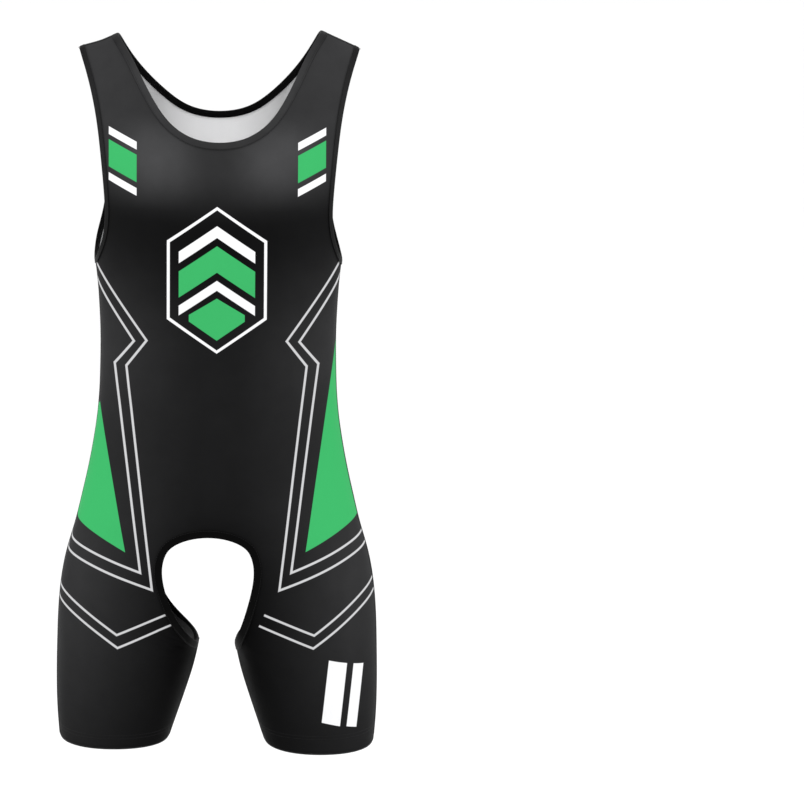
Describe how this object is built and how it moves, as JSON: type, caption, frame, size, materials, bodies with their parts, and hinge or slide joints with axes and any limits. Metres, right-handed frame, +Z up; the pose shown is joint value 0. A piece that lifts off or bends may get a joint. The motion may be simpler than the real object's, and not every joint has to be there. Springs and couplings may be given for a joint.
{
  "type": "wrestling suit",
  "caption": "Sleeveless one-piece wrestling suit with short legs, bound neck and armholes and an open, bound crotch and seat, filled out as worn.",
  "frame": {"origin": "midway between the two shoulder seams, at the height of the seams' middle", "axes": "+Z up, the suit's front faces -Y, and +X is towards the wearer's left"},
  "size_m": [0.3874, 0.2279, 0.8681],
  "materials": {
    "stretch_knit": "smooth knit with a soft sheen",
    "binding": "smooth knit"
  },
  "bodies": {
    "root": {"front_panel": "stretch_knit", "back_panel": "stretch_knit", "neck_binding": "binding", "armhole_binding_left": "binding", "armhole_binding_right": "binding", "crotch_binding": "binding"}
  },
  "joints": []
}
